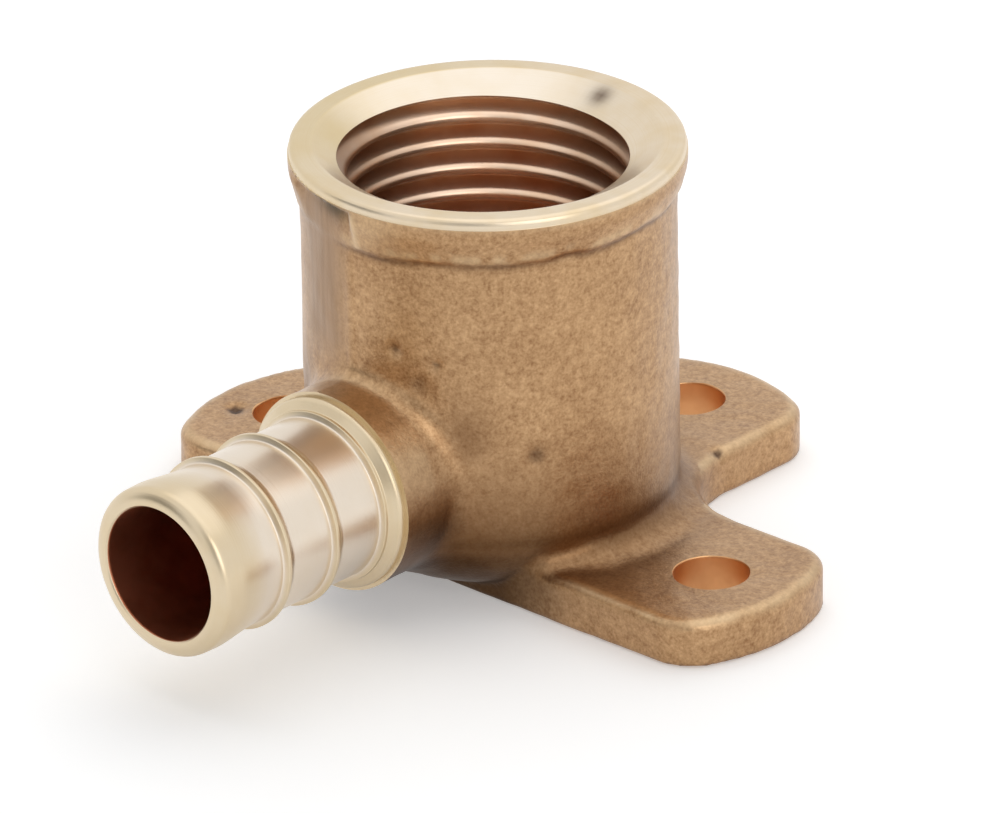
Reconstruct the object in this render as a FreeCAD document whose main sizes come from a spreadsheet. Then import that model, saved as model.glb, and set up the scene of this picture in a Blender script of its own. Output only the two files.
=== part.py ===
import FreeCAD, Part
import math
import os

import Sketcher

# Wall plate elbow: a brass casting with a female pipe thread in an upright hub, a crimp barb at
# right angles to it, and three ears by which it is screwed to a wall. Millimetres.
# The origin is on the hub's axis in the wall face, +Z runs out of the hub's mouth, the barb points
# to -Y, and the ears point to +X, -X and +Y.

NODE = "elbow_casting"
SHEET = "sizes"
RIB_COUNT = 3
# How far a cutting profile runs past the face that it opens.
CUT_MARGIN = 1.0

# The driving sizes. A name that ends in height is measured from the wall face.
SIZES = {
    # Hub: a cylinder that rounds under at its foot, with a cast band round its mouth
    "hub_height": 28.9,
    "hub_diameter": 24.7,
    "foot_height": 1.5,
    "foot_round": 4.0,
    "band_diameter": 26.1,
    "band_depth": 2.6,
    "band_taper": 1.0,
    "mouth_edge": 0.45,
    # Female end: the hole drilled for the thread, and the chamber that turns the water
    "thread_drill_diameter": 18.3,
    "thread_depth": 14.0,
    "mouth_chamfer_diameter": 21.0,
    "chamber_diameter": 15.0,
    "chamber_floor_height": 4.2,
    "chamber_floor_cone": 1.5,
    # Ears: a flat plate with three tongues that flares up into the hub, set a little away from the barb
    "plate_offset": 0.4,
    "ear_thickness": 3.3,
    "ear_width": 14.6,
    "ear_reach": 24.9,
    "ear_end_radius": 11.0,
    "ear_corner_radius": 4.0,
    "ear_edge": 0.45,
    "web_clearance": 0.1,
    "flare_radius": 1.4,
    "flare_reach": 0.5,
    "screw_circle_radius": 18.8,
    "screw_hole_diameter": 5.0,
    # Barb: lengths along it are measured from its tip
    "barb_axis_height": 9.1,
    "barb_reach": 31.8,
    "barb_bore_diameter": 9.1,
    "waist_diameter": 11.0,
    "rib_diameter": 11.8,
    "nose_round": 1.25,
    "nose_length": 1.8,
    "nose_back": 0.8,
    "first_rib": 6.2,
    "rib_pitch": 4.54,
    "rib_crest": 0.5,
    "rib_front": 0.45,
    "shoulder_diameter": 13.8,
    "shoulder_rise": 0.4,
    "shoulder_width": 0.9,
    "neck_diameter": 13.6,
    "neck_fillet": 1.5,
    # Gate: where the runner was ground off, flush with the hub, on one side of the parting line
    "gate_flat_distance": 12.3,
    "gate_flat_angle": 14.0,
    "gate_flat_length": 10.0,
    "gate_rim": 0.9,
    "parting_offset": 0.9,
}


class Dim:
    """A size with the expression that ties it to the sheet, so that both follow the same sum."""

    def __init__(self, value, text):
        self.value = value
        self.text = text

    def __add__(self, other):
        other = as_dim(other)
        return Dim(self.value + other.value, f"({self.text} + {other.text})")

    def __sub__(self, other):
        other = as_dim(other)
        return Dim(self.value - other.value, f"({self.text} - {other.text})")

    def __mul__(self, other):
        other = as_dim(other)
        return Dim(self.value * other.value, f"({self.text} * {other.text})")

    def __truediv__(self, other):
        other = as_dim(other)
        return Dim(self.value / other.value, f"({self.text} / {other.text})")

    def __neg__(self):
        return Dim(-self.value, f"(0 - {self.text})")


def as_dim(value):
    """Takes a plain number as a size of its own."""
    if isinstance(value, Dim):
        return value
    return Dim(float(value), repr(float(value)))


def root(size):
    """Square root of a size."""
    return Dim(math.sqrt(size.value), f"sqrt({size.text})")


def sine(angle):
    """Sine of an angle in degrees."""
    return Dim(math.sin(math.radians(angle.value)), f"sin({angle.text})")


def cosine(angle):
    """Cosine of an angle in degrees."""
    return Dim(math.cos(math.radians(angle.value)), f"cos({angle.text})")


class Turn:
    """An arc from one corner of an outline to the next, to the left or to the right."""

    def __init__(self, radius, left):
        self.radius = radius
        self.left = left

    def centre(self, start, end):
        """Centre of the shorter arc from start to end."""
        chord = end - start
        middle = (start + end) * 0.5
        side = FreeCAD.Vector(-chord.y, chord.x, 0)
        side.normalize()
        rise = math.sqrt(max(self.radius.value ** 2 - chord.Length ** 2 / 4, 0.0))
        return middle + side * (rise if self.left else -rise)


doc = FreeCAD.newDocument("wall_plate_elbow")
sheet = doc.addObject("Spreadsheet::Sheet", SHEET)
for row, (alias, number) in enumerate(SIZES.items(), start=1):
    sheet.set(f"A{row}", alias)
    sheet.set(f"B{row}", str(number))
    sheet.setAlias(f"B{row}", alias)
doc.recompute()
body = doc.addObject("PartDesign::Body", "Body")
body.Label = NODE


def size(alias):
    """A driving size, by its name in the sheet."""
    return Dim(float(sheet.get(alias)), f"{SHEET}.{alias}")


def new_sketch(name, plane_role, shift=None):
    """A sketch on one of the body's own planes, shifted along the plane's own axes."""
    sketch = body.newObject("Sketcher::SketchObject", name)
    plane = next(item for item in body.Origin.OriginFeatures if item.Role == plane_role)
    sketch.AttachmentSupport = [(plane, "")]
    sketch.MapMode = "FlatFace"
    for axis, distance in (shift or {}).items():
        sketch.setExpression(f"AttachmentOffset.Base.{axis}", distance.text)
    doc.recompute()
    return sketch


def drive(sketch, kind, places, dim):
    """Adds one dimension to a sketch and ties it to the sheet."""
    index = sketch.addConstraint(Sketcher.Constraint(kind, *places, dim.value))
    sketch.setExpression(f"Constraints[{index}]", dim.text)


def place_point(sketch, piece, end, across, up):
    """Fixes one end of a piece of a sketch at a place, or on an axis where a size is zero."""
    for kind, axis, dim in (("DistanceX", -2, across), ("DistanceY", -1, up)):
        if dim is None:
            sketch.addConstraint(Sketcher.Constraint("PointOnObject", piece, end, axis))
        else:
            drive(sketch, kind, (-1, 1, piece, end), dim)


def draw_outline(sketch, corners):
    """Draws a closed outline through corners (across, up, turn), straight where turn is None.

    A coordinate of None is zero: the corner then lies on that axis.
    """
    points = []
    for across, up, turn in corners:
        points.append(FreeCAD.Vector(across.value if across else 0, up.value if up else 0, 0))
    ends = []
    for index, (across, up, turn) in enumerate(corners):
        start, end = points[index], points[(index + 1) % len(points)]
        if turn is None:
            piece = sketch.addGeometry(Part.LineSegment(start, end))
            ends.append((piece, 1, 2))
            continue
        centre = turn.centre(start, end)
        first, last = (start, end) if turn.left else (end, start)
        angles = [math.atan2(point.y - centre.y, point.x - centre.x) for point in (first, last)]
        circle = Part.Circle(centre, FreeCAD.Vector(0, 0, 1), turn.radius.value)
        piece = sketch.addGeometry(Part.ArcOfCircle(circle, *angles))
        ends.append((piece, 1, 2) if turn.left else (piece, 2, 1))
    for index, (piece, start, end) in enumerate(ends):
        following, its_start, its_end = ends[(index + 1) % len(ends)]
        sketch.addConstraint(Sketcher.Constraint("Coincident", piece, end, following, its_start))
    for (piece, start, end), (across, up, turn) in zip(ends, corners):
        place_point(sketch, piece, start, across, up)
        if turn is not None:
            drive(sketch, "Radius", (piece,), turn.radius)
    doc.recompute()


def draw_circle(sketch, across, up, radius):
    """Draws a circle about a place in a sketch."""
    centre = FreeCAD.Vector(across.value if across else 0, up.value if up else 0, 0)
    piece = sketch.addGeometry(Part.Circle(centre, FreeCAD.Vector(0, 0, 1), radius.value))
    drive(sketch, "Radius", (piece,), radius)
    place_point(sketch, piece, 3, across, up)
    doc.recompute()


def built(feature):
    """Recomputes a feature and stops if it failed."""
    doc.recompute()
    if {"Invalid", "Error"} & set(feature.State) or feature.Shape.isNull():
        raise RuntimeError(f"{feature.Name} did not build: {feature.getStatusString()}")
    return feature


def turned(kind, name, sketch, axis):
    """A full turn of a sketch about one of its axes, added or cut away."""
    feature = body.newObject(kind, name)
    feature.Profile = sketch
    feature.ReferenceAxis = (sketch, [axis])
    feature.Angle = 360.0
    return built(feature)


def dressed(kind, name, measure, amount, wanted):
    """Rounds or breaks the edges of the body so far that wanted(edge) picks out."""
    base = body.Tip
    names = [f"Edge{i}" for i, edge in enumerate(base.Shape.Edges, start=1) if wanted(edge)]
    feature = body.newObject(kind, name)
    feature.Base = (base, names)
    feature.setExpression(measure, amount.text)
    return built(feature)


def require_less(before, what):
    """Stops if a cut took nothing away."""
    if body.Tip.Shape.Volume > before - 1e-3:
        raise RuntimeError(f"{what} cut nothing")


hub_radius = size("hub_diameter") / 2
band_radius = size("band_diameter") / 2
ear_top = size("ear_thickness")

# Ear plate: a disc that flares up into the hub, trimmed to three tongues
flare_start = hub_radius + size("flare_reach")
flare_top = ear_top + size("flare_radius")
plate_offset = size("plate_offset")
disc_radius = size("ear_reach") + plate_offset + CUT_MARGIN
disc = new_sketch("ear_disc_profile", "XZ_Plane")
draw_outline(disc, [
    (None, None, None),
    (disc_radius, None, None),
    (disc_radius, ear_top, None),
    (flare_start, ear_top, Turn(size("flare_radius"), left=False)),
    (flare_start - size("flare_radius"), flare_top, None),
    (None, flare_top, None),
])
turned("PartDesign::Revolution", "ear_disc", disc, "V_Axis")

half_width = size("ear_width") / 2
end_radius = size("ear_end_radius")
corner_radius = size("ear_corner_radius")
# The corner's circle touches the ear's side and, from inside, the circle of its round end.
end_centre = size("ear_reach") - end_radius
corner_gap = end_radius - corner_radius
corner_across = half_width - corner_radius
corner_along = root(corner_gap * corner_gap - corner_across * corner_across)
side_end = end_centre + corner_along
round_start = (end_centre + corner_along * end_radius / corner_gap, corner_across * end_radius / corner_gap)
# The web between two ears clears the foot of the flare by the ears' broken edge and a little more.
web_reach = (flare_start + size("ear_edge") + size("web_clearance")) / math.sqrt(2)
web_radius = (web_reach - half_width) / (1 - 1 / math.sqrt(2))
web_end = half_width + web_radius
corner = Turn(corner_radius, left=True)
web = Turn(web_radius, left=False)
tongue = [
    (side_end, -half_width, corner),
    (round_start[0], -round_start[1], Turn(end_radius, left=True)),
    (round_start[0], round_start[1], corner),
    (side_end, half_width, None),
]
right_ear = tongue
far_ear = [(-across, along, turn) for along, across, turn in tongue]
left_ear = [(-along, -across, turn) for along, across, turn in tongue]
right_web = [(web_end, half_width, web), (half_width, web_end, None)]
left_web = [(-half_width, web_end, web), (-web_end, half_width, None)]
plate = right_ear + right_web + far_ear + left_web + left_ear
ears = new_sketch("ear_outline", "XY_Plane")
draw_outline(ears, [(across, up + plate_offset, turn) for across, up, turn in plate])
draw_circle(ears, None, None, disc_radius + CUT_MARGIN)
volume = body.Tip.Shape.Volume
trim = body.newObject("PartDesign::Pocket", "ear_trim")
trim.Profile = ears
trim.Type = "ThroughAll"
trim.Reversed = True
require_less(volume, built(trim).Name)


def on_ear_rim(edge):
    """Whether an edge is part of the ears' upper outline, and not the circle where the flare starts."""
    box = edge.BoundBox
    if max(abs(box.ZMin - ear_top.value), abs(box.ZMax - ear_top.value)) > 1e-6:
        return False
    round_edge = edge.Curve.TypeId == "Part::GeomCircle"
    return not (round_edge and math.hypot(edge.Curve.Center.x, edge.Curve.Center.y) < 1e-6)


dressed("PartDesign::Chamfer", "ear_edges", "Size", size("ear_edge"), on_ear_rim)

# Hub: a cylinder, rounded under at its foot, with the band round its mouth and its edge broken
foot_top = size("foot_height") + size("foot_round")
band_low = size("hub_height") - size("band_depth")
hub = new_sketch("hub_profile", "XZ_Plane")
draw_outline(hub, [
    (None, size("foot_height"), None),
    (hub_radius - size("foot_round"), size("foot_height"), Turn(size("foot_round"), left=True)),
    (hub_radius, foot_top, None),
    (hub_radius, band_low - size("band_taper"), None),
    (band_radius, band_low, None),
    (band_radius, size("hub_height") - size("mouth_edge"), None),
    (band_radius - size("mouth_edge"), size("hub_height"), None),
    (None, size("hub_height"), None),
])
turned("PartDesign::Revolution", "hub", hub, "V_Axis")

# Barb and neck: a turned profile along the barb's axis, from the tip to the hub's axis
tip = -size("barb_reach")
bore_radius = size("barb_bore_diameter") / 2
rib_radius = size("rib_diameter") / 2
waist_radius = size("waist_diameter") / 2
shoulder_radius = size("shoulder_diameter") / 2
neck_radius = size("neck_diameter") / 2
barb = new_sketch("barb_profile", "YZ_Plane", {"y": size("barb_axis_height")})
profile = [
    (tip, None, None),
    (tip, rib_radius - size("nose_round"), Turn(size("nose_round"), left=False)),
    (tip + size("nose_round"), rib_radius, None),
    (tip + size("nose_length"), rib_radius, None),
    (tip + size("nose_length") + size("nose_back"), waist_radius, None),
]
for count in range(RIB_COUNT):
    middle = tip + size("first_rib") + size("rib_pitch") * count
    crest_start = middle - size("rib_crest") / 2
    crest_end = middle + size("rib_crest") / 2
    profile += [
        (crest_start - size("rib_front"), waist_radius, None),
        (crest_start, rib_radius, None),
        (crest_end, rib_radius, None),
    ]
    if count < RIB_COUNT - 1:
        profile.append((crest_end, waist_radius, None))
shoulder_start = crest_end + size("shoulder_rise")
shoulder_end = shoulder_start + size("shoulder_width")
profile += [
    (shoulder_start, shoulder_radius, None),
    (shoulder_end, shoulder_radius, None),
    (shoulder_end, neck_radius, None),
    (None, neck_radius, None),
    (None, None, None),
]
draw_outline(barb, profile)
turned("PartDesign::Revolution", "barb", barb, "H_Axis")


def on_neck_root(edge):
    """Whether an edge is where the neck runs into the hub."""
    if min(edge.BoundBox.XLength, edge.BoundBox.YLength) < 1e-3:
        return False
    middle = edge.valueAt((edge.FirstParameter + edge.LastParameter) / 2)
    points = [vertex.Point for vertex in edge.Vertexes] + [middle]
    height = size("barb_axis_height").value
    return all(abs(math.hypot(p.x, p.z - height) - neck_radius.value) < 1e-4 for p in points)


dressed("PartDesign::Fillet", "neck_root", "Radius", size("neck_fillet"), on_neck_root)

# Female end: chamfered mouth, hole for the thread, and the chamber below it
drill_radius = size("thread_drill_diameter") / 2
chamber_radius = size("chamber_diameter") / 2
mouth_radius = size("mouth_chamfer_diameter") / 2
floor_cone = size("chamber_floor_cone")
floor_height = size("chamber_floor_height")
thread_low = size("hub_height") - size("thread_depth")
mouth = new_sketch("mouth_profile", "XZ_Plane")
draw_outline(mouth, [
    (None, floor_height, None),
    (chamber_radius - floor_cone, floor_height, None),
    (chamber_radius, floor_height + floor_cone, None),
    (chamber_radius, thread_low - (drill_radius - chamber_radius), None),
    (drill_radius, thread_low, None),
    (drill_radius, size("hub_height") - (mouth_radius - drill_radius), None),
    (mouth_radius + CUT_MARGIN, size("hub_height") + CUT_MARGIN, None),
    (None, size("hub_height") + CUT_MARGIN, None),
])
volume = body.Tip.Shape.Volume
require_less(volume, turned("PartDesign::Groove", "mouth_bore", mouth, "V_Axis").Name)

# Barb bore: from the tip to the chamber
waterway = new_sketch("waterway_profile", "YZ_Plane", {"y": size("barb_axis_height")})
draw_outline(waterway, [
    (tip - CUT_MARGIN, None, None),
    (None, None, None),
    (None, bore_radius, None),
    (tip - CUT_MARGIN, bore_radius, None),
])
volume = body.Tip.Shape.Volume
require_less(volume, turned("PartDesign::Groove", "barb_bore", waterway, "H_Axis").Name)

# Screw holes: one through each ear
screws = new_sketch("screw_holes", "XY_Plane")
screw_radius = size("screw_hole_diameter") / 2
screw_circle = size("screw_circle_radius")
for across, up in ((screw_circle, None), (-screw_circle, None), (None, screw_circle)):
    draw_circle(screws, across, plate_offset + (up or 0), screw_radius)
volume = body.Tip.Shape.Volume
drilling = body.newObject("PartDesign::Pocket", "screw_drilling")
drilling.Profile = screws
drilling.Type = "ThroughAll"
drilling.Reversed = True
require_less(volume, built(drilling).Name)

# Gate: the flat ground on the band beside the parting line, below the mouth's rim
gate_angle = size("gate_flat_angle")


def gate_depth(across):
    """Where the ground flat lies at a distance across from the parting plane."""
    return -(size("gate_flat_distance") - across * sine(gate_angle)) / cosine(gate_angle)


gate = new_sketch("gate_outline", "XY_Plane", {"z": size("hub_height") - size("gate_rim")})
gate_out = -band_radius - CUT_MARGIN
draw_outline(gate, [
    (-size("parting_offset"), gate_depth(size("parting_offset")), None),
    (-band_radius, gate_depth(band_radius), None),
    (-band_radius, gate_out, None),
    (-size("parting_offset"), gate_out, None),
])
volume = body.Tip.Shape.Volume
grinding = body.newObject("PartDesign::Pocket", "gate_grinding")
grinding.Profile = gate
grinding.Type = "Length"
grinding.setExpression("Length", size("gate_flat_length").text)
require_less(volume, built(grinding).Name)


doc.recompute()
failed = [item.Name for item in doc.Objects if {"Invalid", "Error"} & set(item.State)]
if failed:
    raise RuntimeError(f"these did not build: {failed}")
shape = body.Shape
if shape.isNull() or not shape.isValid() or len(shape.Solids) != 1:
    raise RuntimeError("the casting is not one valid solid")
os.makedirs("parts", exist_ok=True)
shape.exportStep(f"parts/{body.Label}.step")
print(body.Label, "volume", round(shape.Volume, 1), "mm3, faces", len(shape.Faces))
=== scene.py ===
"""Looks of a wall plate elbow: one brass casting, machined at its mouth, thread, barb and screw holes.

The casting is worked out as a distance: a function that gives, for whole arrays of points, how far each
lies outside the metal. Its surface is meshed, roughened like a sand-cast skin, and then machined: each
tool is a surface worked out with numpy, and what the tool sweeps is cut away, as on the real part.
Lengths are millimetres until a mesh is made; the frame itself is in metres.
"""

import logging
import math
from dataclasses import dataclass, field
from enum import IntEnum
from typing import Any, Optional, Sequence

import bpy
import numpy as np
import openvdb
from mathutils import Matrix, Vector


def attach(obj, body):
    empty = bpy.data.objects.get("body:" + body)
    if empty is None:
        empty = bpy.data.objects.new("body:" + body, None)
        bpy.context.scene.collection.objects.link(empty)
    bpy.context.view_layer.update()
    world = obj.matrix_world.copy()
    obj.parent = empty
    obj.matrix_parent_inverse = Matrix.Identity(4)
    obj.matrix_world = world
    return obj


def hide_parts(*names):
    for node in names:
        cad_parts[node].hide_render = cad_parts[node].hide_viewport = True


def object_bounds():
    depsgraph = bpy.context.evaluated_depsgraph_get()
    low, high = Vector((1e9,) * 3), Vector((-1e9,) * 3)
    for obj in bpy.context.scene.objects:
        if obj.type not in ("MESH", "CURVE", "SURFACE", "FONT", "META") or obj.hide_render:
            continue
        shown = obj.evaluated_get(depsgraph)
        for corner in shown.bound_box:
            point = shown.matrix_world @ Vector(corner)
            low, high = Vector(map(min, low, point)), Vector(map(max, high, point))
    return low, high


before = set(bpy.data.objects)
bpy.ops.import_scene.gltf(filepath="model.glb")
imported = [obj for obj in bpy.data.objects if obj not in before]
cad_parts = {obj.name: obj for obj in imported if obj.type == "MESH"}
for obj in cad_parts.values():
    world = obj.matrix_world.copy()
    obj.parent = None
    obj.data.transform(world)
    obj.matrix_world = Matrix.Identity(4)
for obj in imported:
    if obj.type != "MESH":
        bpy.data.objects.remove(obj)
CAD_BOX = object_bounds()

log = logging.getLogger("wall_plate_elbow")

MM = 0.001
NODE = "elbow_casting"
BODY = "root"
# Width and height of the picture, and the width of the camera's sensor in mm.
PICTURE = (1000, 814)
SENSOR = 36.0
TURN = 2 * math.pi
# How far past a rounded corner a profile's flat stretch starts.
HOLD = 0.03
# How far past the metal a tool reaches.
PAST = 1.0


class Finish(IntEnum):
    """The finishes of the casting, in the order of its material slots."""

    CAST = 0
    TURNED = 1
    THREADED = 2
    BORED = 3
    DRILLED = 4


def linear(hex_colour: str) -> tuple[float, float, float, float]:
    """Turns an sRGB hex colour to linear light.

    Args:
        hex_colour: Six hex digits after a hash sign.

    Returns:
        Red, green, blue and alpha, each from 0 to 1.
    """
    parts = [int(hex_colour[i:i + 2], 16) / 255 for i in (1, 3, 5)]
    red, green, blue = (c / 12.92 if c <= 0.04045 else ((c + 0.055) / 1.055) ** 2.4 for c in parts)
    return red, green, blue, 1.0


def add_node(tree: bpy.types.NodeTree, kind: str, sockets: Optional[dict] = None,
             **settings: Any) -> bpy.types.Node:
    """Adds a node to a tree, with its settings, values and links.

    Args:
        tree: The node tree.
        kind: The node's type.
        sockets: For each input, by name or number, an output socket to link or a value to set.
        settings: The node's own properties.

    Returns:
        The new node.
    """
    node = tree.nodes.new(kind)
    for name, value in settings.items():
        setattr(node, name, value)
    for key, value in (sockets or {}).items():
        if isinstance(value, bpy.types.NodeSocket):
            tree.links.new(value, node.inputs[key])
        else:
            node.inputs[key].default_value = value
    return node


def fillet_union(a: np.ndarray, b: np.ndarray, radius: float) -> np.ndarray:
    """Joins two distances, with a hollow fillet of the radius where their surfaces meet.

    Where both distances are under the radius, the surface is a circle about the point that is the radius
    from both; elsewhere it is the nearer of the two.
    """
    corner = np.hypot(np.maximum(radius - a, 0), np.maximum(radius - b, 0))
    return np.maximum(np.minimum(a, b), radius) - corner


def round_common(a: np.ndarray, b: np.ndarray, radius: float) -> np.ndarray:
    """What two distances have in common, with its edge rounded to the radius."""
    return -fillet_union(-a, -b, radius)


@dataclass(frozen=True)
class Ramp:
    """A share that goes evenly from 0 where a value is at the start to 1 where it is full."""

    start: float
    full: float

    def at(self, value: np.ndarray) -> np.ndarray:
        """The share at each value."""
        return np.clip((value - self.start) / (self.full - self.start), 0, 1)


@dataclass(frozen=True)
class Bell:
    """A share that is 1 at a centre and fades to both sides: exp(-((value - centre) / width)^2)."""

    centre: float
    width: float

    def at(self, value: np.ndarray) -> np.ndarray:
        """The share at each value."""
        return np.exp(-((value - self.centre) / self.width) ** 2)


@dataclass(frozen=True)
class Patches:
    """A share that changes with a grain, between 0 and a top."""

    share: float
    change: float
    top: float = 1.0

    def at(self, grain: np.ndarray) -> np.ndarray:
        """The share at each value of the grain."""
        return np.clip(self.share + self.change * grain, 0, self.top)


@dataclass(frozen=True)
class Spot:
    """A round place that fades outwards: where it is, how wide, in mm, and how strong in its middle."""

    x: float
    y: float
    z: float
    radius: float
    strength: float

    def at(self, points: np.ndarray) -> np.ndarray:
        """Strength at points: that of the middle times exp(-(distance / radius)^2)."""
        away = np.linalg.norm(points - [self.x, self.y, self.z], axis=1)
        return self.strength * np.exp(-(away / self.radius) ** 2)


@dataclass(frozen=True)
class Pit(Spot):
    """A dent in the cast skin, as deep in mm as the spot is strong, and how dirty it is inside."""

    dirt: float = 1.0


@dataclass(frozen=True)
class Ring:
    """A ring round the hub that fades outwards: its radius, height and reach in mm, and its strength."""

    radius: float
    height: float
    reach: float
    strength: float

    def at(self, points: np.ndarray) -> np.ndarray:
        """Strength at points: that of the ring times exp(-distance / reach)."""
        out = np.hypot(points[:, 0], points[:, 1])
        return self.strength * np.exp(-np.hypot(out - self.radius, points[:, 2] - self.height) / self.reach)


class Grain:
    """Smooth random values in space, the same on every run.

    Random numbers stand on the corners of a repeating lattice, and between them each value is their
    weighted sum, with weights 3t^2 - 2t^3 along each axis.
    """

    def __init__(self, seed: int, cells: int = 48) -> None:
        """Draws the lattice's numbers."""
        self.cells = cells
        self.lattice = np.random.default_rng(seed).random((cells, cells, cells))

    def at(self, points: np.ndarray, size: float) -> np.ndarray:
        """Reads the grain.

        Args:
            points: Rows of x, y, z in mm.
            size: The spacing of the lattice in mm.

        Returns:
            One value from -1 to 1 for each point.
        """
        place = points / size
        corner = np.floor(place).astype(int)
        part = place - corner
        weight = part * part * (3 - 2 * part)
        total = np.zeros(len(points))
        for step in np.ndindex(2, 2, 2):
            index = (corner + step) % self.cells
            share = np.prod(np.where(np.array(step), weight, 1 - weight), axis=1)
            total += share * self.lattice[index[:, 0], index[:, 1], index[:, 2]]
        return 2 * total - 1


@dataclass
class Surface:
    """A mesh in the making: points in mm, faces, and the finish of each face."""

    points: np.ndarray
    faces: Sequence[Sequence[int]]
    finish: np.ndarray

    def mesh(self, name: str, materials: Sequence[bpy.types.Material]) -> bpy.types.Mesh:
        """Makes a Blender mesh, in metres, that carries all the finishes.

        Args:
            name: The mesh's name.
            materials: The finishes, in the order of Finish.

        Returns:
            The new mesh.
        """
        mesh = bpy.data.meshes.new(name)
        mesh.from_pydata(self.points * MM, [], self.faces)
        for material in materials:
            mesh.materials.append(material)
        mesh.polygons.foreach_set("material_index", self.finish.astype(np.int32))
        mesh.update()
        return mesh


def round_path(stretches: dict[Finish, list[tuple]], steps: int = 5) -> tuple[np.ndarray, np.ndarray]:
    """Draws a profile through corners, some of them rounded.

    A rounded corner is the quadratic curve from a point on one side to a point on the other, both the
    corner's cut away from it. A further point just beyond each end keeps the straight stretches flat.

    Args:
        stretches: For each finish, in the profile's order, rows of (along, radius, cut) for the corners.
            The finish is that of the stretches that start at them.
        steps: Points in each rounded corner.

    Returns:
        The profile's points, and the finish of each stretch between them.
    """
    rows = [(*corner, finish) for finish, corners in stretches.items() for corner in corners]
    spots = np.array([row[:2] for row in rows], float)
    points, finishes = [], []
    for index, (*_, cut, finish) in enumerate(rows):
        if not cut:
            points.append(spots[index])
            finishes.append(finish)
            continue
        before, after = spots[index - 1] - spots[index], spots[index + 1] - spots[index]
        before, after = before / np.linalg.norm(before), after / np.linalg.norm(after)
        start, end = spots[index] + before * cut, spots[index] + after * cut
        t = np.linspace(0, 1, steps)[:, None]
        points.append(start + before * HOLD)
        points.extend((1 - t) ** 2 * start + 2 * t * (1 - t) * spots[index] + t ** 2 * end)
        points.append(end + after * HOLD)
        finishes.extend([rows[index - 1][-1]] * 2 + [finish] * steps)
    return np.array(points), np.array(finishes[:-1])


def turned_solid(stretches: dict[Finish, list[tuple]], columns: int) -> Surface:
    """Carries a profile round the Z axis into a closed solid.

    A point at height h and radius r goes to (r cos a, r sin a, h) for each angle a. The profile starts and
    ends on the axis, and each of those two points is one pole. Its outer side runs down the axis.

    Args:
        stretches: The profile's corners, as round_path takes them; the first and the last radius are zero.
        columns: Number of angles.

    Returns:
        The solid's surface, with the faces pointing out of it.
    """
    profile, finish = round_path(stretches)
    angle = np.arange(columns) * TURN / columns
    height, radius = profile[1:-1, 0], profile[1:-1, 1]
    rings = np.stack([
        radius[:, None] * np.cos(angle),
        radius[:, None] * np.sin(angle),
        np.broadcast_to(height[:, None], (len(height), columns)),
    ], axis=-1).reshape(-1, 3)
    points = np.concatenate([rings, [[0, 0, profile[0, 0]], [0, 0, profile[-1, 0]]]])
    row, column = np.meshgrid(np.arange(len(height) - 1), np.arange(columns), indexing="ij")
    row, column = row.ravel(), column.ravel()
    following = (column + 1) % columns
    upper, lower = row * columns, (row + 1) * columns
    quads = np.stack([upper + column, lower + column, lower + following, upper + following], axis=1)
    edge = np.arange(columns)
    beside = (edge + 1) % columns
    base = (len(height) - 1) * columns
    caps = np.concatenate([
        np.stack([np.full(columns, len(rings)), edge, beside], axis=1),
        np.stack([np.full(columns, len(rings) + 1), base + beside, base + edge], axis=1),
    ])
    kinds = np.concatenate([np.repeat(finish[1:-1], columns), np.repeat(finish[[0, -1]], columns)])
    return Surface(points, quads.tolist() + caps.tolist(), kinds)


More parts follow.
